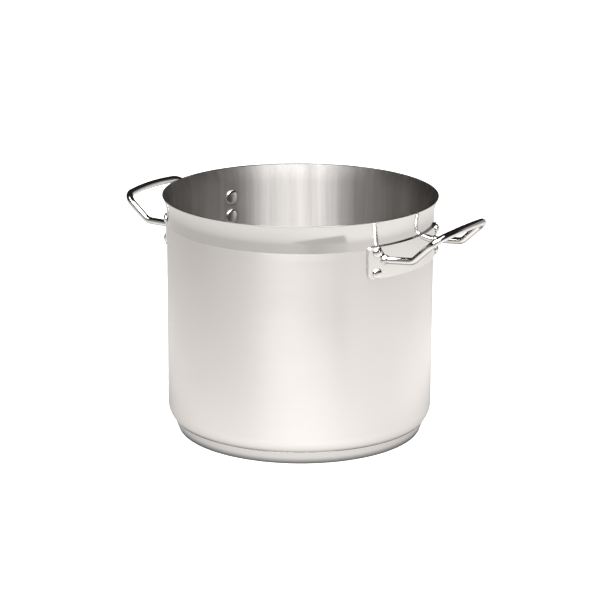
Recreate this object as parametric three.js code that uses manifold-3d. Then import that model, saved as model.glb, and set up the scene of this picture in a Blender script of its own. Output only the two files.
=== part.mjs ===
// Stainless stock pot with a capped aluminium base and two riveted bow handles.
// Millimetres, +Z up. The floor plane is Z = 0, the pot axis is the Z axis, the handles lie on +X and -X.
import * as THREE from "three";
import { mergeVertices } from "three/addons/utils/BufferGeometryUtils.js";
import Module from "manifold-3d";

// Pot body: one drawn sheet.
const BODY_RADIUS = 140;
const WALL = 1.0;
const RIM_HEIGHT = 253.5;
const FLARE_START = 233.5;
const FLARE_RADIUS = 44;
const FLARE_RISE = 19.2;
const FLARE_STEPS = 4;
const CORNER_RADIUS = 19.5;
const UNDERSIDE_HEIGHT = 9.0;

// Capped base: an aluminium disc held under the pot by a thin steel cap.
const CAP_FLOOR_RADIUS = 127.2;
const CAP_SHEET = 0.8;
const SEAM_RADIUS = 134.2;
const SEAM_HEIGHT = 14.3;
const CORE_CLEARANCE = 0.15;

// Handle plates: curved straps that hug the wall.
const PLATE_GAP = 0.15;
const PLATE_THICKNESS = 2.5;
const PLATE_HALF_ANGLE = 28.6;
const PLATE_CENTRE_HEIGHT = 210.4;
const PLATE_HEIGHT = 33.4;
const PLATE_CORNER = 6;
const PLATE_EDGE = 0.5;

// Rivets: four to a handle, one pair at each end of the plate.
const RIVET_ANGLE = 24.4;
const RIVET_HALF_SPACING = 10.75;
const SHANK_RADIUS = 3.0;
const RIVET_HOLE_RADIUS = 3.15;
const OUTER_HEAD_RADIUS = 5.3;
const OUTER_HEAD_HEIGHT = 3.2;
const INNER_HEAD_RADIUS = 8.0;
const INNER_HEAD_HEIGHT = 2.6;

// Handle rod: two legs, a rise away from the pot, and a bowed grip.
// The rods are bent and welded by hand, so the two differ by a few millimetres.
const RODS = {
  right: { turn: 0, footHeight: 212.1, bendReach: 166, bendHeight: 215.4, gripReach: 193, gripHeight: 240.4 },
  left: { turn: 180, footHeight: 212.4, bendReach: 161.5, bendHeight: 212.4, gripReach: 190, gripHeight: 235.4 },
};
const ROD_RADIUS = 4.0;
const LEG_HALF_SPACING = 50;
const GRIP_BOW = 4;
const LEG_BEND_RADIUS = 12;
const GRIP_CORNER_RADIUS = 14;
const WELD_RADIUS = 5.7;
const WELD_LENGTH = 4.0;

// Facets.
const POT_SEGMENTS = 72;
const RIVET_SEGMENTS = 16;
const WELD_SEGMENTS = 18;
const ROD_SIDES = 12;
const ROD_STEPS = 48;
const ARC_STEPS = 5;

const PLATE_INNER = BODY_RADIUS + PLATE_GAP;
const PLATE_OUTER = PLATE_INNER + PLATE_THICKNESS;
const LEG_INSIDE = PLATE_INNER - 13;
const LEG_FOOT = PLATE_OUTER * Math.cos(Math.asin(LEG_HALF_SPACING / PLATE_OUTER));
const DEGREE = Math.PI / 180;

const wasm = await Module();
wasm.setup();

// Turns a closed geometry into a manifold solid, leaving out triangles of no area.
function toSolid(geometry) {
  const bare = geometry.clone();
  bare.deleteAttribute("normal");
  bare.deleteAttribute("uv");
  const merged = mergeVertices(bare, 1e-4);
  const corners = merged.index.array;
  const kept = [];
  for (let i = 0; i < corners.length; i += 3) {
    const [a, b, c] = [corners[i], corners[i + 1], corners[i + 2]];
    if (a !== b && b !== c && c !== a) {
      kept.push(a, b, c);
    }
  }
  return new wasm.Manifold(new wasm.Mesh({
    numProp: 3,
    vertProperties: new Float32Array(merged.attributes.position.array),
    triVerts: new Uint32Array(kept),
  }));
}

function toGeometry(solid) {
  const mesh = solid.getMesh();
  const geometry = new THREE.BufferGeometry();
  geometry.setAttribute("position", new THREE.BufferAttribute(new Float32Array(mesh.vertProperties), 3));
  geometry.setIndex(new THREE.BufferAttribute(new Uint32Array(mesh.triVerts), 1));
  return geometry;
}

// Spins a list of [radius, height] points about the Z axis.
// The points run out along the bottom, up the outside and back in over the top.
function lathe(profile, segments) {
  const points = profile.map(([radius, height]) => new THREE.Vector2(radius, height));
  return new THREE.LatheGeometry(points, segments).rotateX(Math.PI / 2);
}

// Spins a profile whose heights are distances from the pot axis, and points it outward through the wall.
function radialLathe(profile, segments, degrees, height) {
  return lathe(profile, segments)
    .rotateY(Math.PI / 2)
    .rotateZ(degrees * DEGREE)
    .translate(0, 0, height);
}

function arc(centre, radius, fromDegrees, toDegrees, steps) {
  const points = [];
  for (let i = 0; i <= steps; i += 1) {
    const angle = (fromDegrees + ((toDegrees - fromDegrees) * i) / steps) * DEGREE;
    points.push([centre[0] + radius * Math.cos(angle), centre[1] + radius * Math.sin(angle)]);
  }
  return points;
}

// The rim turns outward on a large arc over the top of the wall.
function flare(wallRadius) {
  const points = [];
  for (let i = 0; i <= FLARE_STEPS; i += 1) {
    const rise = FLARE_RISE * Math.sqrt(i / FLARE_STEPS);
    const shift = FLARE_RADIUS - Math.sqrt(FLARE_RADIUS ** 2 - rise ** 2);
    points.push([wallRadius + shift, FLARE_START + rise]);
  }
  return points;
}

function bodyProfile() {
  const cornerCentre = [BODY_RADIUS - CORNER_RADIUS, UNDERSIDE_HEIGHT + CORNER_RADIUS];
  const outerCorner = arc(cornerCentre, CORNER_RADIUS, -90, 0, ARC_STEPS);
  const innerCorner = arc(cornerCentre, CORNER_RADIUS - WALL, 0, -90, ARC_STEPS);
  const outerFlare = flare(BODY_RADIUS);
  const innerFlare = flare(BODY_RADIUS - WALL).reverse();
  const lipRadius = outerFlare[FLARE_STEPS][0];
  const lip = [
    [lipRadius + 0.1, RIM_HEIGHT - 0.3],
    [lipRadius - 0.2, RIM_HEIGHT],
    [lipRadius - 0.7, RIM_HEIGHT],
  ];
  return [
    [0, UNDERSIDE_HEIGHT],
    ...outerCorner,
    ...outerFlare,
    ...lip,
    ...innerFlare,
    ...innerCorner,
    [0, UNDERSIDE_HEIGHT + WALL],
  ];
}

// The cap is a shallow dish. Its side leans out to the seam and stops just clear of the pot's corner.
function capProfile() {
  const floorEdge = CAP_FLOOR_RADIUS;
  return [
    [0, 0],
    [floorEdge, 0],
    [floorEdge + 1.5, 0.45],
    [floorEdge + 2.4, 1.6],
    [SEAM_RADIUS, SEAM_HEIGHT],
    [SEAM_RADIUS - 1.3, SEAM_HEIGHT - 1.2],
    [floorEdge + 1.55, 1.85],
    [floorEdge + 0.95, 1.1],
    [floorEdge - 0.2, CAP_SHEET],
    [0, CAP_SHEET],
  ];
}

// The disc fills the space between the cap and the pot's underside.
function coreProfile() {
  const cornerCentre = [BODY_RADIUS - CORNER_RADIUS, UNDERSIDE_HEIGHT + CORNER_RADIUS];
  const underCorner = arc(cornerCentre, CORNER_RADIUS + CORE_CLEARANCE, -60, -90, 4);
  return [
    [0, CAP_SHEET + CORE_CLEARANCE],
    [CAP_FLOOR_RADIUS - 0.3, CAP_SHEET + CORE_CLEARANCE],
    [CAP_FLOOR_RADIUS + 1.2, 2.0],
    [CAP_FLOOR_RADIUS + 4.6, 11.0],
    ...underCorner,
    [0, UNDERSIDE_HEIGHT - CORE_CLEARANCE],
  ];
}

// A rounded rectangle, drawn out from the pot axis so its end faces are radial.
function plateWindow() {
  const nearDistance = 110;
  const depth = 40;
  const halfHeight = PLATE_HEIGHT / 2;
  const faceDistance = PLATE_OUTER * Math.cos(PLATE_HALF_ANGLE * DEGREE);
  const halfWidth = faceDistance * Math.tan(PLATE_HALF_ANGLE * DEGREE);
  const across = halfWidth - PLATE_CORNER;
  const up = halfHeight - PLATE_CORNER;
  const corners = [[across, up, 0], [-across, up, 90], [-across, -up, 180], [across, -up, 270]];
  const outline = corners.flatMap(([x, y, start]) => arc([x, y], PLATE_CORNER, start, start + 90, ARC_STEPS));
  const shape = new THREE.Shape(outline.map(([x, y]) => new THREE.Vector2(x, y)));
  const geometry = new THREE.ExtrudeGeometry(shape, { depth, bevelEnabled: false, steps: 1 });
  const position = geometry.attributes.position;
  for (let i = 0; i < position.count; i += 1) {
    const outward = nearDistance + position.getZ(i);
    const sideways = (position.getX(i) * outward) / faceDistance;
    const height = position.getY(i) + PLATE_CENTRE_HEIGHT;
    position.setXYZ(i, outward, sideways, height);
  }
  return geometry;
}

function plateRing() {
  const bottom = PLATE_CENTRE_HEIGHT - PLATE_HEIGHT / 2;
  const top = PLATE_CENTRE_HEIGHT + PLATE_HEIGHT / 2;
  return lathe([
    [PLATE_INNER, bottom],
    [PLATE_OUTER - PLATE_EDGE, bottom],
    [PLATE_OUTER, bottom + PLATE_EDGE],
    [PLATE_OUTER, top - PLATE_EDGE],
    [PLATE_OUTER - PLATE_EDGE, top],
    [PLATE_INNER, top],
    [PLATE_INNER, bottom],
  ], POT_SEGMENTS);
}

// A solid drum of the plate's outer face, used to cut the rod ends and welds to that curve.
function plateDrum(clearance) {
  const radius = PLATE_OUTER + clearance;
  return toSolid(lathe([[0, 150], [radius, 150], [radius, 250], [0, 250]], POT_SEGMENTS));
}

function rivetProfile() {
  const innerFace = BODY_RADIUS - WALL - 0.45;
  const outerFace = PLATE_OUTER + 0.1;
  const dome = (radius, rise, base, sign, steps) => {
    const points = [];
    for (let i = 1; i < steps; i += 1) {
      const angle = (90 * i * DEGREE) / steps;
      points.push([radius * Math.cos(angle), base + sign * rise * Math.sin(angle)]);
    }
    return points;
  };
  return [
    [0, innerFace - INNER_HEAD_HEIGHT],
    ...dome(INNER_HEAD_RADIUS, INNER_HEAD_HEIGHT - 0.4, innerFace - 0.4, -1, 3).reverse(),
    [INNER_HEAD_RADIUS, innerFace - 0.4],
    [INNER_HEAD_RADIUS - 0.2, innerFace],
    [SHANK_RADIUS, innerFace],
    [SHANK_RADIUS, outerFace],
    [OUTER_HEAD_RADIUS - 0.2, outerFace],
    [OUTER_HEAD_RADIUS, outerFace + 0.5],
    ...dome(OUTER_HEAD_RADIUS, OUTER_HEAD_HEIGHT - 0.5, outerFace + 0.5, 1, 4),
    [0, outerFace + OUTER_HEAD_HEIGHT],
  ];
}

function rivetHole(degrees, height) {
  const radius = RIVET_HOLE_RADIUS;
  return toSolid(radialLathe([[0, 130], [radius, 130], [radius, 150], [0, 150]], RIVET_SEGMENTS, degrees, height));
}

// The angle at which a rod's legs climb from the plate to the bend.
function legLift({ footHeight, bendReach, bendHeight }) {
  return Math.atan2(bendHeight - footHeight, bendReach - LEG_FOOT);
}

// A rod's centre line: distance from the pot axis, sideways distance and height, before it is turned to its side.
function rodCentreLine(rod) {
  const { bendReach, bendHeight } = rod;
  const lift = legLift(rod);
  const rise = new THREE.Vector2(rod.gripReach - bendReach, rod.gripHeight - bendHeight);
  const riseLength = rise.length();
  const tilt = rise.angle();
  const gripRadius = (LEG_HALF_SPACING ** 2 + GRIP_BOW ** 2) / (2 * GRIP_BOW);
  const gripCentre = riseLength + GRIP_BOW - gripRadius;
  const cornerSide = LEG_HALF_SPACING - GRIP_CORNER_RADIUS;
  const cornerAlong = gripCentre + Math.sqrt((gripRadius - GRIP_CORNER_RADIUS) ** 2 - cornerSide ** 2);
  const joinDegrees = Math.atan2(cornerSide, cornerAlong - gripCentre) / DEGREE;
  const corner = arc([cornerAlong, cornerSide], GRIP_CORNER_RADIUS, 90, joinDegrees, 8);
  const grip = arc([gripCentre, 0], gripRadius, joinDegrees, 0, 8);
  const bendHalfLength = LEG_BEND_RADIUS * Math.tan((tilt - lift) / 2);
  const bendStart = bendReach - bendHalfLength * Math.cos(lift);
  const bendFloor = bendHeight - bendHalfLength * Math.sin(lift);
  const half = [];
  for (let i = 0; i <= 4; i += 1) {
    const inward = (bendStart - LEG_INSIDE) * (1 - i / 5);
    half.push([bendStart - inward, LEG_HALF_SPACING, bendFloor - inward * Math.tan(lift)]);
  }
  for (let i = 0; i <= 4; i += 1) {
    const angle = lift + ((tilt - lift) * i) / 4;
    const forward = LEG_BEND_RADIUS * (Math.sin(angle) - Math.sin(lift));
    const upward = LEG_BEND_RADIUS * (Math.cos(lift) - Math.cos(angle));
    half.push([bendStart + forward, LEG_HALF_SPACING, bendFloor + upward]);
  }
  for (const [along, sideways] of [...corner, ...grip.slice(1)]) {
    half.push([bendReach + along * Math.cos(tilt), sideways, bendHeight + along * Math.sin(tilt)]);
  }
  const mirrored = half.slice(0, -1).reverse().map(([x, y, z]) => [x, -y, z]);
  return [...half, ...mirrored].map(([x, y, z]) => new THREE.Vector3(x, y, z));
}

function rodGeometry(rod) {
  const circle = arc([0, 0], ROD_RADIUS, 0, 360, ROD_SIDES).slice(0, -1);
  const section = new THREE.Shape(circle.map(([x, y]) => new THREE.Vector2(x, y)));
  const path = new THREE.CatmullRomCurve3(rodCentreLine(rod), false, "centripetal");
  const sweep = new THREE.ExtrudeGeometry(section, { steps: ROD_STEPS, bevelEnabled: false, extrudePath: path });
  return toGeometry(toSolid(sweep).subtract(plateDrum(0.1)));
}

// A fillet of weld metal round the foot of one leg.
function weldGeometry(sideways, rod) {
  const bore = ROD_RADIUS + 0.1;
  const ring = lathe([
    [bore, -8],
    [WELD_RADIUS, -8],
    [WELD_RADIUS, 0.6],
    [WELD_RADIUS - 0.7, 1.8],
    [bore + 0.5, WELD_LENGTH - 0.6],
    [bore, WELD_LENGTH],
    [bore, -8],
  ], WELD_SEGMENTS);
  ring.rotateY(Math.PI / 2 - legLift(rod)).translate(LEG_FOOT, sideways, rod.footHeight);
  return toGeometry(toSolid(ring).subtract(plateDrum(0.05)));
}

const steel = (color, roughness) => new THREE.MeshStandardMaterial({ color, roughness, metalness: 1 });
const MATERIALS = {
  satin: () => steel(0xc9c6c1, 0.34),
  polished: () => steel(0xd4d3d1, 0.12),
  cap: () => steel(0xcfccc8, 0.22),
  weld: () => steel(0xb9b5ae, 0.4),
  aluminium: () => steel(0xd6d8da, 0.5),
};

const group = new THREE.Group();
group.name = "stock_pot";

function addPart(name, geometry, material) {
  const mesh = new THREE.Mesh(geometry, MATERIALS[material]());
  mesh.name = name;
  group.add(mesh);
}

const LEVELS = [["upper", RIVET_HALF_SPACING], ["lower", -RIVET_HALF_SPACING]];
const ENDS = [["front", -1], ["back", 1]];
const rivets = Object.entries(RODS).flatMap(([side, { turn }]) => ENDS.flatMap(([end, sign]) => (
  LEVELS.map(([level, rise]) => ({
    name: `rivet_${side}_${end}_${level}`,
    turn,
    degrees: turn === 0 ? sign * RIVET_ANGLE : turn - sign * RIVET_ANGLE,
    height: PLATE_CENTRE_HEIGHT + rise,
  }))
)));

let body = toSolid(lathe(bodyProfile(), POT_SEGMENTS));
for (const { degrees, height } of rivets) {
  body = body.subtract(rivetHole(degrees, height));
}
addPart("pot_body", toGeometry(body), "satin");
addPart("core_disc", lathe(coreProfile(), POT_SEGMENTS), "aluminium");
addPart("base_cap", lathe(capProfile(), POT_SEGMENTS), "cap");

for (const [side, rod] of Object.entries(RODS)) {
  const { turn } = rod;
  let plate = toSolid(plateRing()).intersect(toSolid(plateWindow()));
  for (const { degrees, height } of rivets.filter((rivet) => rivet.turn === 0)) {
    plate = plate.subtract(rivetHole(degrees, height));
  }
  addPart(`handle_plate_${side}`, toGeometry(plate).rotateZ(turn * DEGREE), "polished");
  addPart(`handle_rod_${side}`, rodGeometry(rod).rotateZ(turn * DEGREE), "polished");
  for (const [end, sign] of ENDS) {
    const sideways = turn === 0 ? sign * LEG_HALF_SPACING : -sign * LEG_HALF_SPACING;
    addPart(`weld_bead_${side}_${end}`, weldGeometry(sideways, rod).rotateZ(turn * DEGREE), "weld");
  }
}

for (const { name, degrees, height } of rivets) {
  addPart(name, radialLathe(rivetProfile(), RIVET_SEGMENTS, degrees, height), "polished");
}

export default group;
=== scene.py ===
"""A stainless stock pot with a capped base and two riveted bow handles, standing in a plain white studio."""
import math

import bmesh
import bpy
from mathutils import Matrix, Vector


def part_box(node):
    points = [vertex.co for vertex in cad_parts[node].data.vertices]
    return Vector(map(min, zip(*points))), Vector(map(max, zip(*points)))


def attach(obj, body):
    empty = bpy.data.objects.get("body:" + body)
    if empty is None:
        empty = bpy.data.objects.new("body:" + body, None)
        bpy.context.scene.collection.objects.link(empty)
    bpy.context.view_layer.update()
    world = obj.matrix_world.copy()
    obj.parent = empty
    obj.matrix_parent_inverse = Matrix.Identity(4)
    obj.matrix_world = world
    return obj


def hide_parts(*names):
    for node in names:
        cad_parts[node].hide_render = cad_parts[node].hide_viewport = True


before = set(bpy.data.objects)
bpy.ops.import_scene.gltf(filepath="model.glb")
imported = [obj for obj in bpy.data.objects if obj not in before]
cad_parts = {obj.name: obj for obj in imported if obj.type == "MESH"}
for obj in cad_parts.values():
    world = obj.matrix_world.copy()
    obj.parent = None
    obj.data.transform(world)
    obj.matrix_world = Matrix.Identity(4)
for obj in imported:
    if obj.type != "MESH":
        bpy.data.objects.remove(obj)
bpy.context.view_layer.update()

MM = 0.001

# Sizes of the pot, in metres. They follow the CAD part's.
BODY_RADIUS = 140 * MM
WALL = 1.0 * MM
RIM_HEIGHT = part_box("pot_body")[1].z
FLARE_START = 233.5 * MM
FLARE_RADIUS = 44 * MM
CORNER_RADIUS = 19.5 * MM
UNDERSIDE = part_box("pot_body")[0].z
WALL_HEIGHTS = (0.08, 0.14, 0.2)
POLISHED_FROM = 224.5 * MM
LIP_HEIGHT = 0.8 * MM
LIP_ROUND = 0.22 * MM

SEAM_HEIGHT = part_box("base_cap")[1].z
SEAM_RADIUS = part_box("base_cap")[1].x
CAP_FLOOR_RADIUS = 127.2 * MM
CAP_EDGE_RADIUS = 2.2 * MM
CAP_SHEET = 0.8 * MM
CAP_SIDE_SHEET = 1.3 * MM
CAP_SIDE_LEAN = 2.6 * MM
CAP_SIDE_MIDDLE = 0.52
SEAM_ROUND = 0.25 * MM
SEAM_SIDE_HEIGHT = 0.6 * MM
SEAM_TIP_WIDTH = 0.1 * MM
SEAM_INSIDE_DEPTH = 1.2 * MM

PLATE_INNER = 140.15 * MM
PLATE_OUTER = 142.65 * MM
PLATE_HALF_ANGLE = math.radians(28.6)
PLATE_CORNER = 6 * MM
PLATE_BEVEL = 1.0 * MM

RIVET_ANGLE = 24.4
OUTER_HEAD_RADIUS = 5.3 * MM
OUTER_HEAD_HEIGHT = 3.2 * MM
INNER_HEAD_RADIUS = 8.0 * MM
INNER_HEAD_HEIGHT = 2.6 * MM
INNER_HEAD_RIM = 0.4 * MM
OUTER_HEAD_RIM = 0.5 * MM
HEAD_CHAMFER = 0.2 * MM
SHANK_RADIUS = 3 * MM
INNER_HEAD_GAP = 0.45 * MM
OUTER_HEAD_GAP = 0.1 * MM

# The two rods are bent and welded by hand, so they differ by a few millimetres.
# The foot, the bend and the grip are given by their distance from the pot's axis and their height.
LEG_HALF_SPACING = 50 * MM
LEG_FOOT = math.sqrt(PLATE_OUTER ** 2 - LEG_HALF_SPACING ** 2)
RODS = {
    "right": {
        "turn": 0.0,
        "foot": Vector((LEG_FOOT, 212.1 * MM)),
        "bend": Vector((166 * MM, 215.4 * MM)),
        "grip": Vector((193 * MM, 240.4 * MM)),
    },
    "left": {
        "turn": math.pi,
        "foot": Vector((LEG_FOOT, 212.4 * MM)),
        "bend": Vector((161.5 * MM, 212.4 * MM)),
        "grip": Vector((190 * MM, 235.4 * MM)),
    },
}
ROD_RADIUS = 3.88 * MM
LEG_RADIUS = 3.7 * MM
SWELL_BEFORE_BEND = 6 * MM
SWELL_LENGTH = 26 * MM
LEG_SUNK = 1.0 * MM
GRIP_BOW = 4 * MM
LEG_BEND_RADIUS = 12 * MM
GRIP_CORNER_RADIUS = 14 * MM
WELD_RADIUS = 5.6 * MM
WELD_LENGTH = 4.0 * MM
WELD_OVERLAP = 0.05 * MM

# How finely the curved shapes are divided.
POT_SEGMENTS = 256
FLARE_STEPS = 16
LIP_STEPS = 4
CORNER_STEPS = 20
CAP_EDGE_STEPS = 8
PLATE_STEPS_ALONG = 40
PLATE_STEPS_UP = 8
PLATE_CORNER_STEPS = 6
ROD_SIDES = 32
ROD_STRAIGHT_STEPS = 8
ROD_BEND_STEPS = 12
ROD_GRIP_STEPS = 20
RIVET_SEGMENTS = 48
DOME_STEPS = 12
WELD_SIDES = 48
WELD_STEPS = 10
BACKDROP_SEGMENTS = 96
BACKDROP_STEPS = 16

SMOOTH_BELOW = math.radians(35)
ON_AXIS = 1e-7

# The view, measured about the pot's axis.
VIEW_AZIMUTH = math.radians(32.8)
VIEW_ELEVATION = math.radians(15.9)
VIEW_DISTANCE = 2.511
VIEW_TARGET = Vector((0, 0, 0.1375))
VIEW_LENS = 142.4
VIEW_SENSOR = 36
VIEW_ROLL = math.radians(0.29)

# The white bowl that the camera sees behind the pot, and the dim light of the room.
BACKDROP_RADIUS = 7.0
BACKDROP_CURVE = 2.0
BACKDROP_HEIGHT = 9.0
BACKDROP_LEVEL = -0.0005
BACKDROP_GLOW = 0.97
ROOM_GLOW = 0.02
ROOM_COLOUR = (1.0, 0.97, 0.94, 1)

# The lit table and the card that the steel reflects shine a little warm.
SHEET_COLOUR = (1, 0.985, 0.965, 1)

# The table is brightest round a point in front of the pot and to its right.
TABLE_CORNERS = ((-6, -6), (6, -6), (6, 6), (-6, 6))
TABLE_LEVEL = -0.001
TABLE_GLOW = 1.27
TABLE_FADE = 0.55
LIT_RIGHT = 0.25
LIT_FRONT = 0.15
FADE_INNER = 0.25
FADE_OUTER = 1.2

# The shadow behind the pot and the one close round its foot:
# distance behind the axis, what is left of the light, radius of the full shadow, radius where it ends.
SHADOWS = ((0.1, 0.28, 0.13, 0.27), (0.0, 0.12, 0.1293, 0.1362))

# A dim glowing sheet that lies on the table where only reflections see it, a little brighter away from the
# pot: painted shade that the steel reflects as a dark patch.
CARD_CORNERS = ((0.26, 0.38), (0.56, 0.74), (0.2, 1.1), (-0.1, 0.74))
CARD_LEVEL = -0.0005
CARD_GLOW_NEAR = 0.7
CARD_GLOW_FAR = 0.75
CARD_NEAR = 0.1
CARD_FAR = 1.0

# The soft boxes: bearing in degrees from the camera's side of the pot, positive to the camera's right,
# then distance, height, width, depth and power. All of them point at LIGHT_TARGET.
SOFT_BOXES = {
    "key_soft_box": (2, 1.6, 1.9, 2.6, 1.8, 128),
    "back_fill": (130, 2.0, 0.55, 1.6, 0.7, 1.1),
    "left_fill": (-65, 2.0, 0.8, 1.0, 1.0, 1.0),
    "high_fill_left": (-66, 1.2, 2.4, 1.2, 1.0, 12),
    "high_fill_right": (70, 1.2, 2.4, 1.5, 1.0, 15),
}
LIGHT_TARGET = Vector((0, 0, 0.12))


# ---------------------------------------------------------------- mesh tools

def arc(centre, radius, start, end, steps):
    """Points on a circle from one angle to another, in degrees, both ends included."""
    points = []
    for i in range(steps + 1):
        angle = math.radians(start + (end - start) * i / steps)
        points.append((centre[0] + radius * math.cos(angle), centre[1] + radius * math.sin(angle)))
    return points


def finish_piece(name, bm, materials, sharp=SMOOTH_BELOW):
    """Makes a smooth-shaded object of the mesh, with the edges above an angle marked as sharp."""
    bmesh.ops.recalc_face_normals(bm, faces=bm.faces)
    for face in bm.faces:
        face.smooth = True
    for edge in bm.edges:
        if edge.is_manifold and edge.calc_face_angle(0) > sharp:
            edge.smooth = False
    mesh = bpy.data.meshes.new(name)
    bm.to_mesh(mesh)
    bm.free()
    piece = bpy.data.objects.new(name, mesh)
    bpy.context.scene.collection.objects.link(piece)
    for material in materials:
        mesh.materials.append(material)
    return piece


def stand_for(piece, node):
    """The piece takes the CAD node's place and rides on the pot."""
    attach(piece, "root")
    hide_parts(node)


def lathe(profile, segments, place=Matrix.Identity(4), slots=None):
    """Spins (radius, height) points about Z. Points on the axis become poles.
    slots lists the material index of each row of faces."""
    bm = bmesh.new()
    rings = []
    for radius, height in profile:
        if radius < ON_AXIS:
            rings.append([bm.verts.new(place @ Vector((0, 0, height)))] * segments)
            continue
        ring = []
        for k in range(segments):
            angle = math.tau * k / segments
            point = Vector((radius * math.sin(angle), -radius * math.cos(angle), height))
            ring.append(bm.verts.new(place @ point))
        rings.append(ring)
    for row, (ring, following) in enumerate(zip(rings, rings[1:])):
        for k in range(segments):
            j = (k + 1) % segments
            corners = list(dict.fromkeys([ring[k], ring[j], following[j], following[k]]))
            if len(corners) > 2:
                face = bm.faces.new(corners)
                if slots:
                    face.material_index = slots[row]
    return bm


def skin(bm, rings):
    """Joins each ring of vertices to the next, and closes both ends."""
    for ring, following in zip(rings, rings[1:]):
        for k in range(len(ring)):
            j = (k + 1) % len(ring)
            bm.faces.new((ring[k], ring[j], following[j], following[k]))
    bm.faces.new(rings[0])
    bm.faces.new(rings[-1])


def tube(points, radii, sides):
    """A round tube along a line of points, with a closed end at each end."""
    bm = bmesh.new()
    across = Vector((0, 0, 1))
    rings = []
    last = len(points) - 1
    for i, point in enumerate(points):
        along = (points[min(i + 1, last)] - points[max(i - 1, 0)]).normalized()
        across = (across - along * across.dot(along)).normalized()
        beside = along.cross(across)
        ring = []
        for k in range(sides):
            angle = math.tau * k / sides
            outward = math.cos(angle) * across + math.sin(angle) * beside
            ring.append(bm.verts.new(point + radii[i] * outward))
        rings.append(ring)
    skin(bm, rings)
    return bm


# ---------------------------------------------------------------- materials

class Nodes:
    """A material's node tree, with short calls to add and join nodes."""

    def __init__(self, name):
        self.material = bpy.data.materials.new(name)
        self.material.use_nodes = True
        self.tree = self.material.node_tree
        self.shader = self.tree.nodes["Principled BSDF"]
        self.place = self.add("ShaderNodeTexCoord").outputs["Object"]

    def add(self, kind, **settings):
        node = self.tree.nodes.new(kind)
        for key, value in settings.items():
            setattr(node, key, value)
        return node

    def join(self, output, socket):
        self.tree.links.new(output, socket)

    def math(self, operation, first, second=0.0):
        node = self.add("ShaderNodeMath", operation=operation)
        for value, socket in ((first, node.inputs[0]), (second, node.inputs[1])):
            if isinstance(value, (int, float)):
                socket.default_value = value
            else:
                self.join(value, socket)
        return node.outputs[0]

    def noise(self, vector, scale, detail=2.0, roughness=0.5):
        node = self.add("ShaderNodeTexNoise")
        node.inputs["Scale"].default_value = scale
        node.inputs["Detail"].default_value = detail
        node.inputs["Roughness"].default_value = roughness
        self.join(vector, node.inputs["Vector"])
        return node.outputs["Fac"]

    def spread(self, value, low, high, from_low=0.3, from_high=0.7):
        node = self.add("ShaderNodeMapRange")
        node.inputs["From Min"].default_value = from_low
        node.inputs["From Max"].default_value = from_high
        node.inputs["To Min"].default_value = low
        node.inputs["To Max"].default_value = high
        self.join(value, node.inputs["Value"])
        return node.outputs["Result"]

    def tint(self, factor, dark, light):
        node = self.add("ShaderNodeMix", data_type="RGBA")
        for socket in node.inputs:
            if socket.name == "Factor" and socket.type == "VALUE":
                self.join(factor, socket)
        for socket in node.inputs:
            if socket.type == "RGBA" and socket.name == "A":
                socket.default_value = (*dark, 1)
            if socket.type == "RGBA" and socket.name == "B":
                socket.default_value = (*light, 1)
        return [s for s in node.outputs if s.type == "RGBA"][0]

    def turned_lines(self, around, across):
        """Coordinates stretched round the pot's axis, so noise on them runs in fine rings."""
        split = self.add("ShaderNodeSeparateXYZ")
        self.join(self.place, split.inputs[0])
        x, y, z = split.outputs
        squares = self.math("ADD", self.math("MULTIPLY", x, x), self.math("MULTIPLY", y, y))
        radius = self.math("SQRT", squares)
        along = self.math("MULTIPLY", self.math("ADD", z, radius), across)
        merged = self.add("ShaderNodeCombineXYZ")
        self.join(self.math("MULTIPLY", x, around), merged.inputs[0])
        self.join(self.math("MULTIPLY", y, around), merged.inputs[1])
        self.join(along, merged.inputs[2])
        return merged.outputs[0]

    def bump(self, height, strength, distance):
        node = self.add("ShaderNodeBump")
        node.inputs["Strength"].default_value = strength
        node.inputs["Distance"].default_value = distance
        self.join(height, node.inputs["Height"])
        return node.outputs["Normal"]


def scaled(colour, factor):
    return tuple(min(1.0, channel * factor) for channel in colour)


def brushed_steel(name, colour, roughness, anisotropy, contrast, line_bump, streaks=0.0):
    """Steel brushed round the pot: fine rings in tint, gloss and height, under soft blotches of wear.
    streaks gives the strength of the upright marks that drawing the sheet has left."""
    nodes = Nodes(name)
    shader = nodes.shader
    lines = nodes.noise(nodes.turned_lines(around=9, across=1400), 1.0, detail=3.0, roughness=0.65)
    blotches = nodes.noise(nodes.place, 9.0, detail=3.0)
    drawn = nodes.add("ShaderNodeMapping")
    drawn.inputs["Scale"].default_value = (55, 55, 1.5)
    nodes.join(nodes.place, drawn.inputs["Vector"])
    marks = nodes.noise(drawn.outputs[0], 1.0, detail=3.0, roughness=0.7)
    drawing = nodes.spread(marks, -streaks, streaks)
    shade = nodes.math("ADD", lines, drawing)
    tint = nodes.tint(shade, scaled(colour, 1 - contrast), scaled(colour, 1 + contrast))
    nodes.join(tint, shader.inputs["Base Color"])
    wear = nodes.spread(blotches, 0.93, 1.07)
    gloss = nodes.spread(lines, roughness * 0.9, roughness * 1.12)
    nodes.join(nodes.math("MULTIPLY", gloss, wear), shader.inputs["Roughness"])
    nodes.join(nodes.bump(lines, line_bump, distance=0.08 * MM), shader.inputs["Normal"])
    shader.inputs["Metallic"].default_value = 1.0
    shader.inputs["Anisotropic"].default_value = anisotropy
    shader.inputs["Anisotropic Rotation"].default_value = 0.25
    tangent = nodes.add("ShaderNodeTangent", direction_type="RADIAL", axis="Z")
    nodes.join(tangent.outputs[0], shader.inputs["Tangent"])
    return nodes.material


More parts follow.
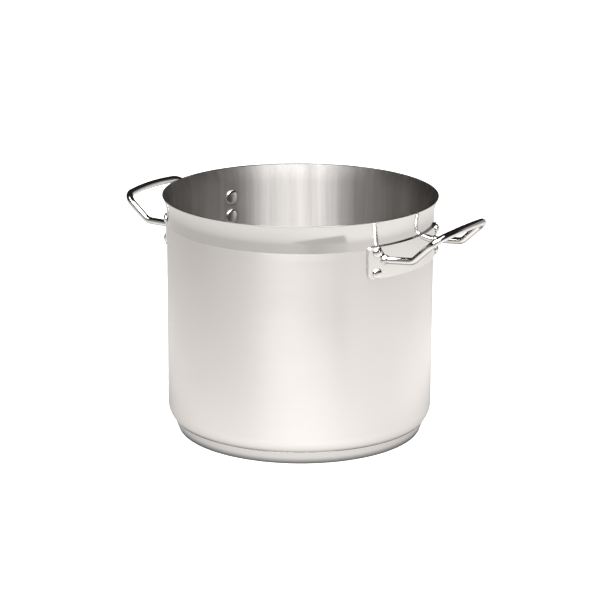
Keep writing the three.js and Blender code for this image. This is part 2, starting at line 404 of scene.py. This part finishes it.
def polished_steel(name, colour, roughness, scratches, underside_shade):
    """Mirror-polished steel with hairline scratches and faint smears.
    Faces that look down are darkened towards the underside factor: painted shade on their lower sides."""
    nodes = Nodes(name)
    shader = nodes.shader
    facing = nodes.add("ShaderNodeSeparateXYZ")
    nodes.join(nodes.add("ShaderNodeTexCoord").outputs["Normal"], facing.inputs[0])
    # Painted shade: 0 on faces that look down, rising to 1 on faces that look sideways or up.
    not_facing_down = nodes.spread(facing.outputs["Z"], 0.0, 1.0, from_low=-0.85, from_high=-0.4)
    smears = nodes.noise(nodes.place, 28.0, detail=3.0, roughness=0.6)
    stretched = nodes.add("ShaderNodeMapping")
    stretched.inputs["Scale"].default_value = (60, 60, 2400)
    nodes.join(nodes.place, stretched.inputs["Vector"])
    hairlines = nodes.noise(stretched.outputs[0], 1.0, roughness=0.6)
    # The faint smears are real tone; the darkening of faces that look down is painted shade.
    smears_and_shade = nodes.math("MULTIPLY", not_facing_down, nodes.spread(smears, 0.94, 1.0))
    tint = nodes.tint(smears_and_shade, scaled(colour, underside_shade), scaled(colour, 1.02))
    nodes.join(tint, shader.inputs["Base Color"])
    gloss = nodes.spread(smears, roughness * 0.75, roughness * 1.3)
    scratched = nodes.spread(hairlines, 0.0, 0.03, from_low=0.62, from_high=0.8)
    nodes.join(nodes.math("ADD", gloss, scratched), shader.inputs["Roughness"])
    nodes.join(nodes.bump(hairlines, scratches, distance=0.04 * MM), shader.inputs["Normal"])
    shader.inputs["Metallic"].default_value = 1.0
    return nodes.material


def weld_metal(name, colour):
    """Dressed weld metal: rippled, duller than the rod, and lightly straw-tinted by heat."""
    nodes = Nodes(name)
    shader = nodes.shader
    ripple = nodes.noise(nodes.place, 900.0, detail=3.0, roughness=0.6)
    heat = nodes.noise(nodes.place, 180.0)
    straw = (colour[0], colour[1] * 0.97, colour[2] * 0.9)
    nodes.join(nodes.tint(heat, scaled(colour, 0.8), straw), shader.inputs["Base Color"])
    nodes.join(nodes.spread(ripple, 0.2, 0.36), shader.inputs["Roughness"])
    nodes.join(nodes.bump(ripple, 0.35, distance=0.2 * MM), shader.inputs["Normal"])
    shader.inputs["Metallic"].default_value = 1.0
    return nodes.material


def raw_aluminium(name):
    """Matt aluminium for the disc that is hidden in the base."""
    nodes = Nodes(name)
    shader = nodes.shader
    grain = nodes.noise(nodes.place, 1200.0, detail=3.0)
    nodes.join(nodes.tint(grain, (0.72, 0.73, 0.74), (0.83, 0.84, 0.85)), shader.inputs["Base Color"])
    nodes.join(nodes.spread(grain, 0.45, 0.6), shader.inputs["Roughness"])
    nodes.join(nodes.bump(grain, 0.2, distance=0.1 * MM), shader.inputs["Normal"])
    shader.inputs["Metallic"].default_value = 1.0
    return nodes.material


STEEL = (0.80, 0.77, 0.75)
BRIGHT = (0.76, 0.74, 0.725)
satin_outside = brushed_steel("satin_outside", STEEL, 0.36, 0.6, 0.035, 0.25)
# The inside uses the outside's steel with its colour darkened to 0.66: painted shade for the inside of the
# pot. It is also rougher and more streaked.
shaded_satin_inside = brushed_steel("shaded_satin_inside", scaled(STEEL, 0.66), 0.57, 0.93, 0.14, 0.4, 0.6)
band_polish = brushed_steel("band_polish", scaled(BRIGHT, 0.84), 0.12, 0.4, 0.015, 0.08)
cap_polish = brushed_steel("cap_polish", scaled(BRIGHT, 0.96), 0.2, 0.5, 0.03, 0.2)
# The last number is the painted shade on faces that look down: strong on the rods and plates, lighter on the
# rivets.
handle_polish = polished_steel("handle_polish", BRIGHT, 0.06, 0.12, 0.15)
rivet_polish = polished_steel("rivet_polish", scaled(BRIGHT, 0.97), 0.2, 0.2, 0.6)
weld_finish = weld_metal("weld_finish", scaled(BRIGHT, 0.9))
core_finish = raw_aluminium("core_finish")


# ---------------------------------------------------------------- pot

def flare(height):
    """How far the rim has turned outward at a height above the start of the flare."""
    return FLARE_RADIUS - math.sqrt(FLARE_RADIUS ** 2 - height ** 2)


def make_body():
    corner = (BODY_RADIUS - CORNER_RADIUS, UNDERSIDE + CORNER_RADIUS)
    flare_top = RIM_HEIGHT - LIP_HEIGHT - FLARE_START
    heights = [flare_top * i / FLARE_STEPS for i in range(FLARE_STEPS + 1)]
    lip_outside = BODY_RADIUS + flare(flare_top)
    outside = [(0, UNDERSIDE), (corner[0] * 0.5, UNDERSIDE)]
    outside += arc(corner, CORNER_RADIUS, -90, 0, CORNER_STEPS)
    outside += [(BODY_RADIUS, z) for z in (*WALL_HEIGHTS, POLISHED_FROM)]
    band_row = len(outside) - 1
    outside += [(BODY_RADIUS + flare(h), FLARE_START + h) for h in heights]
    lip_level = RIM_HEIGHT - LIP_ROUND
    lip = arc((lip_outside - LIP_ROUND, lip_level), LIP_ROUND, 10, 90, LIP_STEPS)
    lip += arc((lip_outside - WALL + LIP_ROUND, lip_level), LIP_ROUND, 90, 170, LIP_STEPS)
    inner_radius = BODY_RADIUS - WALL
    inside = [(inner_radius + flare(h), FLARE_START + h) for h in reversed(heights)]
    inside_row = len(outside) + len(lip)
    inside += [(inner_radius, z) for z in reversed(WALL_HEIGHTS)]
    inside += arc(corner, CORNER_RADIUS - WALL, 0, -90, CORNER_STEPS)
    inside += [(corner[0] * 0.5, UNDERSIDE + WALL), (0, UNDERSIDE + WALL)]
    profile = outside + lip + inside
    slots = [0] * band_row + [1] * (inside_row - band_row) + [2] * (len(profile) - inside_row)
    bm = lathe(profile, POT_SEGMENTS, slots=slots)
    materials = [satin_outside, band_polish, shaded_satin_inside]
    piece = finish_piece("pot_shell", bm, materials, sharp=math.radians(60))
    stand_for(piece, "pot_body")


def make_cap():
    """The dished cap under the pot: a rounded foot, a leaning side and a thin turned-in edge at the seam."""
    profile = [(0, 0), (CAP_FLOOR_RADIUS * 0.5, 0)]
    profile += arc((CAP_FLOOR_RADIUS, CAP_EDGE_RADIUS), CAP_EDGE_RADIUS, -90, -22, CAP_EDGE_STEPS)
    profile += [
        (SEAM_RADIUS - CAP_SIDE_LEAN, SEAM_HEIGHT * CAP_SIDE_MIDDLE),
        (SEAM_RADIUS - SEAM_ROUND, SEAM_HEIGHT - SEAM_SIDE_HEIGHT),
        (SEAM_RADIUS, SEAM_HEIGHT - SEAM_ROUND),
        (SEAM_RADIUS - SEAM_TIP_WIDTH, SEAM_HEIGHT),
        (SEAM_RADIUS - CAP_SIDE_SHEET, SEAM_HEIGHT - SEAM_INSIDE_DEPTH),
        (CAP_FLOOR_RADIUS + CAP_SIDE_SHEET, CAP_EDGE_RADIUS),
        (CAP_FLOOR_RADIUS, CAP_SHEET),
        (0, CAP_SHEET),
    ]
    piece = finish_piece("base_shell", lathe(profile, POT_SEGMENTS), [cap_polish])
    stand_for(piece, "base_cap")


# ---------------------------------------------------------------- handles

def squared_circle(u, v):
    """Maps the unit square's corner onto a quarter disc."""
    return u * math.sqrt(1 - v * v / 2), v * math.sqrt(1 - u * u / 2)


def stations(half, steps):
    """Grid stations across a plate, as pairs: the straight part, and how far into the rounded corner, 0 to 1.
    half is half the plate's size, and steps is the number of steps in the straight part."""
    reach = half - PLATE_CORNER
    straight = [(reach * (2 * i / steps - 1), 0.0) for i in range(steps + 1)]
    first = [(-reach, -i / PLATE_CORNER_STEPS) for i in range(PLATE_CORNER_STEPS, 0, -1)]
    last = [(reach, i / PLATE_CORNER_STEPS) for i in range(1, PLATE_CORNER_STEPS + 1)]
    return first + straight + last


def make_plate(side, turn):
    """A curved strap with rounded corners, bent to the wall from a flat grid, then thickened and bevelled."""
    low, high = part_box(f"handle_plate_{side}")
    middle_height = (low.z + high.z) / 2
    half_height = (high.z - low.z) / 2
    half_length = PLATE_OUTER * PLATE_HALF_ANGLE
    bm = bmesh.new()
    grid = []
    for along, corner_u in stations(half_length, PLATE_STEPS_ALONG):
        column = []
        for up, corner_v in stations(half_height, PLATE_STEPS_UP):
            u, v = squared_circle(corner_u, corner_v)
            angle = (along + u * PLATE_CORNER) / PLATE_OUTER + turn
            x = PLATE_OUTER * math.cos(angle)
            y = PLATE_OUTER * math.sin(angle)
            column.append(bm.verts.new((x, y, middle_height + up + v * PLATE_CORNER)))
        grid.append(column)
    for left, right in zip(grid, grid[1:]):
        for k in range(len(left) - 1):
            bm.faces.new((left[k], right[k], right[k + 1], left[k + 1]))
    piece = finish_piece(f"plate_{side}", bm, [handle_polish], sharp=math.radians(80))
    thickness = piece.modifiers.new("thickness", "SOLIDIFY")
    thickness.thickness = PLATE_OUTER - PLATE_INNER
    thickness.offset = -1
    bevel = piece.modifiers.new("edge", "BEVEL")
    bevel.width = PLATE_BEVEL
    bevel.segments = 4
    bevel.limit_method = "ANGLE"
    bevel.angle_limit = math.radians(50)
    piece.modifiers.new("shading", "WEIGHTED_NORMAL").keep_sharp = True
    stand_for(piece, f"handle_plate_{side}")


def slope_angle(run):
    return math.atan2(run.y, run.x)


def rod_line(foot, bend, grip):
    """A rod's centre line, before its turn: a leg, a rise away from the pot, a rounded corner, a bowed grip.
    The second half mirrors the first."""
    lift = slope_angle(bend - foot)
    rise = grip - bend
    tilt = slope_angle(rise)
    grip_radius = (LEG_HALF_SPACING ** 2 + GRIP_BOW ** 2) / (2 * GRIP_BOW)
    grip_centre = rise.length + GRIP_BOW - grip_radius
    corner_side = LEG_HALF_SPACING - GRIP_CORNER_RADIUS
    corner_along = grip_centre + math.sqrt((grip_radius - GRIP_CORNER_RADIUS) ** 2 - corner_side ** 2)
    meet = math.degrees(math.atan2(corner_side, corner_along - grip_centre))
    half_bend = LEG_BEND_RADIUS * math.tan((tilt - lift) / 2)
    leg = (bend - foot).normalized()
    start = foot - leg * LEG_SUNK
    bend_start = bend - leg * half_bend
    half = []
    for i in range(ROD_STRAIGHT_STEPS):
        place = start.lerp(bend_start, i / ROD_STRAIGHT_STEPS)
        half.append(Vector((place.x, LEG_HALF_SPACING, place.y)))
    for i in range(ROD_BEND_STEPS + 1):
        angle = lift + (tilt - lift) * i / ROD_BEND_STEPS
        forward = LEG_BEND_RADIUS * (math.sin(angle) - math.sin(lift))
        upward = LEG_BEND_RADIUS * (math.cos(lift) - math.cos(angle))
        half.append(Vector((bend_start.x + forward, LEG_HALF_SPACING, bend_start.y + upward)))
    plane = []
    for i in range(1, ROD_STRAIGHT_STEPS):
        along = half_bend + (corner_along - half_bend) * i / ROD_STRAIGHT_STEPS
        plane.append((along, LEG_HALF_SPACING))
    plane += arc((corner_along, corner_side), GRIP_CORNER_RADIUS, 90, meet, ROD_GRIP_STEPS)
    plane += arc((grip_centre, 0), grip_radius, meet, 0, ROD_GRIP_STEPS)[1:]
    for along, sideways in plane:
        half.append(Vector((bend.x + along * math.cos(tilt), sideways, bend.y + along * math.sin(tilt))))
    return half + [Vector((p.x, -p.y, p.z)) for p in reversed(half[:-1])]


def make_rod(side, turn, foot, bend, grip):
    """The handle rod, a little slimmer in its legs than in the grip."""
    points = rod_line(foot, bend, grip)
    radii = []
    for point in points:
        swell = min(1.0, max(0.0, (point.x - bend.x + SWELL_BEFORE_BEND) / SWELL_LENGTH))
        radii.append(LEG_RADIUS + (ROD_RADIUS - LEG_RADIUS) * swell * swell * (3 - 2 * swell))
    spin = Matrix.Rotation(turn, 3, "Z")
    bm = tube([spin @ point for point in points], radii, ROD_SIDES)
    piece = finish_piece(f"grip_{side}", bm, [handle_polish], sharp=math.radians(60))
    stand_for(piece, f"handle_rod_{side}")


def make_weld(name, turn, sign, foot, bend):
    """A slightly lumpy fillet of weld metal that runs from the plate's curved face up on to the leg."""
    bm = bmesh.new()
    rings = []
    spin = Matrix.Rotation(turn, 3, "Z")
    for i in range(WELD_STEPS + 1):
        part = i / WELD_STEPS
        ring = []
        for k in range(WELD_SIDES):
            angle = math.tau * k / WELD_SIDES
            lumps = 1 + 0.05 * math.sin(angle * 7 + 1) + 0.03 * math.sin(angle * 13)
            reach = (WELD_RADIUS - LEG_RADIUS) * lumps * (1 - part) ** 1.7
            radius = LEG_RADIUS - WELD_OVERLAP + reach
            y = sign * LEG_HALF_SPACING + radius * math.sin(angle)
            along = math.sqrt(PLATE_OUTER ** 2 - y * y) + WELD_LENGTH * part ** 1.3
            climb = (along - foot.x) * math.tan(slope_angle(bend - foot))
            z = foot.y + climb + radius * math.cos(angle)
            ring.append(bm.verts.new(spin @ Vector((along, y, z))))
        rings.append(ring)
    skin(bm, rings)
    fillet = name.replace("weld_bead", "weld_fillet")
    piece = finish_piece(fillet, bm, [weld_finish], sharp=math.radians(60))
    stand_for(piece, name)


def make_rivet(name, degrees, height):
    """A driven rivet: a broad low dome inside the pot, and a smaller, taller dome on the plate."""
    inner_face = BODY_RADIUS - WALL - INNER_HEAD_GAP
    outer_face = PLATE_OUTER + OUTER_HEAD_GAP
    inner_rim = inner_face - INNER_HEAD_RIM
    outer_rim = outer_face + OUTER_HEAD_RIM
    inner_dome = INNER_HEAD_HEIGHT - INNER_HEAD_RIM
    outer_dome = OUTER_HEAD_HEIGHT - OUTER_HEAD_RIM
    quarter = [math.radians(90 * i / DOME_STEPS) for i in range(DOME_STEPS)]
    profile = [(0, inner_face - INNER_HEAD_HEIGHT)]
    for angle in reversed(quarter):
        profile.append((INNER_HEAD_RADIUS * math.cos(angle), inner_rim - inner_dome * math.sin(angle)))
    profile += [
        (INNER_HEAD_RADIUS - HEAD_CHAMFER, inner_face),
        (SHANK_RADIUS, inner_face),
        (SHANK_RADIUS, outer_face),
        (OUTER_HEAD_RADIUS - HEAD_CHAMFER, outer_face),
        (OUTER_HEAD_RADIUS, outer_rim - HEAD_CHAMFER),
    ]
    for angle in quarter:
        profile.append((OUTER_HEAD_RADIUS * math.cos(angle), outer_rim + outer_dome * math.sin(angle)))
    profile.append((0, outer_face + OUTER_HEAD_HEIGHT))
    turn = Matrix.Rotation(math.radians(degrees), 4, "Z") @ Matrix.Rotation(math.pi / 2, 4, "Y")
    bm = lathe(profile, RIVET_SEGMENTS, Matrix.Translation((0, 0, height)) @ turn)
    piece = finish_piece(name.replace("rivet", "stud"), bm, [rivet_polish], sharp=math.radians(50))
    stand_for(piece, name)


make_body()
make_cap()
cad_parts["core_disc"].data.materials.clear()
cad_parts["core_disc"].data.materials.append(core_finish)
for side, rod in RODS.items():
    make_plate(side, rod["turn"])
    make_rod(side, **rod)
    for end, sign in (("front", -1), ("back", 1)):
        facing = sign if side == "right" else -sign
        make_weld(f"weld_bead_{side}_{end}", rod["turn"], facing, rod["foot"], rod["bend"])
        for level in ("upper", "lower"):
            node = f"rivet_{side}_{end}_{level}"
            low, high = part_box(node)
            angle = sign * RIVET_ANGLE if side == "right" else 180 - sign * RIVET_ANGLE
            make_rivet(node, angle, (low.z + high.z) / 2)


# ---------------------------------------------------------------- studio

def view_axes():
    """Unit vectors on the floor: towards the camera, and to the camera's right."""
    towards = Vector((math.sin(VIEW_AZIMUTH), -math.cos(VIEW_AZIMUTH), 0))
    right = Vector((math.cos(VIEW_AZIMUTH), math.sin(VIEW_AZIMUTH), 0))
    return towards, right


def make_backdrop():
    """The plain white floor and the wall it curves up into. Only the camera sees it."""
    floor_radius = BACKDROP_RADIUS - BACKDROP_CURVE
    profile = [(0, 0), (floor_radius, 0)]
    profile += arc((floor_radius, BACKDROP_CURVE), BACKDROP_CURVE, -90, 0, BACKDROP_STEPS)
    profile.append((BACKDROP_RADIUS, BACKDROP_HEIGHT))
    nodes = Nodes("studio_backdrop")
    grain = nodes.noise(nodes.place, 3.0)
    tint = nodes.tint(grain, (0.93, 0.93, 0.93), (0.95, 0.95, 0.95))
    nodes.join(tint, nodes.shader.inputs["Base Color"])
    nodes.shader.inputs["Roughness"].default_value = 0.9
    nodes.shader.inputs["Specular IOR Level"].default_value = 0.1
    nodes.shader.inputs["Emission Color"].default_value = (1, 1, 1, 1)
    nodes.shader.inputs["Emission Strength"].default_value = BACKDROP_GLOW
    backdrop = finish_piece("backdrop", lathe(profile, BACKDROP_SEGMENTS), [nodes.material])
    backdrop.location.z = BACKDROP_LEVEL
    backdrop.visible_glossy = False
    backdrop.visible_diffuse = False


def make_glow(name, corners, height, strength):
    """A flat lit sheet that only reflections can see.
    corners are distances to the camera's right and towards the camera, from the pot's axis."""
    towards, right = view_axes()
    bm = bmesh.new()
    bm.faces.new([bm.verts.new(right * u + towards * v) for u, v in corners])
    nodes = Nodes(name)
    nodes.shader.inputs["Base Color"].default_value = (0, 0, 0, 1)
    nodes.shader.inputs["Specular IOR Level"].default_value = 0.0
    nodes.shader.inputs["Emission Color"].default_value = SHEET_COLOUR
    nodes.join(strength(nodes), nodes.shader.inputs["Emission Strength"])
    sheet = finish_piece(name, bm, [nodes.material])
    sheet.location.z = height
    sheet.visible_camera = False
    sheet.visible_diffuse = False
    sheet.visible_shadow = False


def reach_from(nodes, point):
    """The distance from a point."""
    reach = nodes.add("ShaderNodeVectorMath", operation="DISTANCE")
    nodes.join(nodes.place, reach.inputs[0])
    reach.inputs[1].default_value = point
    return reach.outputs["Value"]


def table_glow(nodes):
    """Bright where the light falls, dark in the pot's own shadow behind it and close round its foot."""
    towards, right = view_axes()
    lit = reach_from(nodes, right * LIT_RIGHT + towards * LIT_FRONT)
    glow = nodes.math("MULTIPLY", nodes.spread(lit, 1.0, TABLE_FADE, FADE_INNER, FADE_OUTER), TABLE_GLOW)
    for behind, left_over, inner, outer in SHADOWS:
        shadow = nodes.spread(reach_from(nodes, towards * -behind), left_over, 1.0, inner, outer)
        glow = nodes.math("MULTIPLY", glow, shadow)
    return glow


# How bright the dim sheet glows: painted shade, a little brighter away from the pot.
def card_glow(nodes):
    reach = reach_from(nodes, Vector((0, 0, 0)))
    return nodes.spread(reach, CARD_GLOW_NEAR, CARD_GLOW_FAR, CARD_NEAR, CARD_FAR)


def make_light(name, bearing, distance, height, width, depth, power):
    towards, right = view_axes()
    angle = math.radians(bearing)
    place = distance * (towards * math.cos(angle) + right * math.sin(angle)) + Vector((0, 0, height))
    data = bpy.data.lights.new(name, "AREA")
    data.shape = "RECTANGLE"
    data.size = width
    data.size_y = depth
    data.energy = power
    light = bpy.data.objects.new(name, data)
    light.location = place
    light.rotation_mode = "QUATERNION"
    light.rotation_quaternion = (LIGHT_TARGET - place).to_track_quat("-Z", "Y")
    bpy.context.scene.collection.objects.link(light)


def make_world():
    world = bpy.data.worlds.new("studio")
    bpy.context.scene.world = world
    world.use_nodes = True
    background = world.node_tree.nodes["Background"]
    background.inputs[0].default_value = ROOM_COLOUR
    background.inputs[1].default_value = ROOM_GLOW


def make_camera():
    back = Vector((
        math.sin(VIEW_AZIMUTH) * math.cos(VIEW_ELEVATION),
        -math.cos(VIEW_AZIMUTH) * math.cos(VIEW_ELEVATION),
        math.sin(VIEW_ELEVATION),
    ))
    data = bpy.data.cameras.new("camera")
    data.lens = VIEW_LENS
    data.sensor_width = VIEW_SENSOR
    camera = bpy.data.objects.new("camera", data)
    bpy.context.scene.collection.objects.link(camera)
    camera.location = VIEW_TARGET + back * VIEW_DISTANCE
    camera.rotation_mode = "QUATERNION"
    roll = Matrix.Rotation(VIEW_ROLL, 3, "Z").to_quaternion()
    camera.rotation_quaternion = (-back).to_track_quat("-Z", "Y") @ roll
    bpy.context.scene.camera = camera


make_backdrop()
make_glow("table_light", TABLE_CORNERS, TABLE_LEVEL, table_glow)
# The dim sheet is painted shade, seen only in the steel's reflections.
make_glow("painted_shade_sheet", CARD_CORNERS, CARD_LEVEL, card_glow)
make_world()
for box_name, settings in SOFT_BOXES.items():
    make_light(box_name, *settings)
make_camera()
bpy.context.scene.view_settings.view_transform = "Standard"
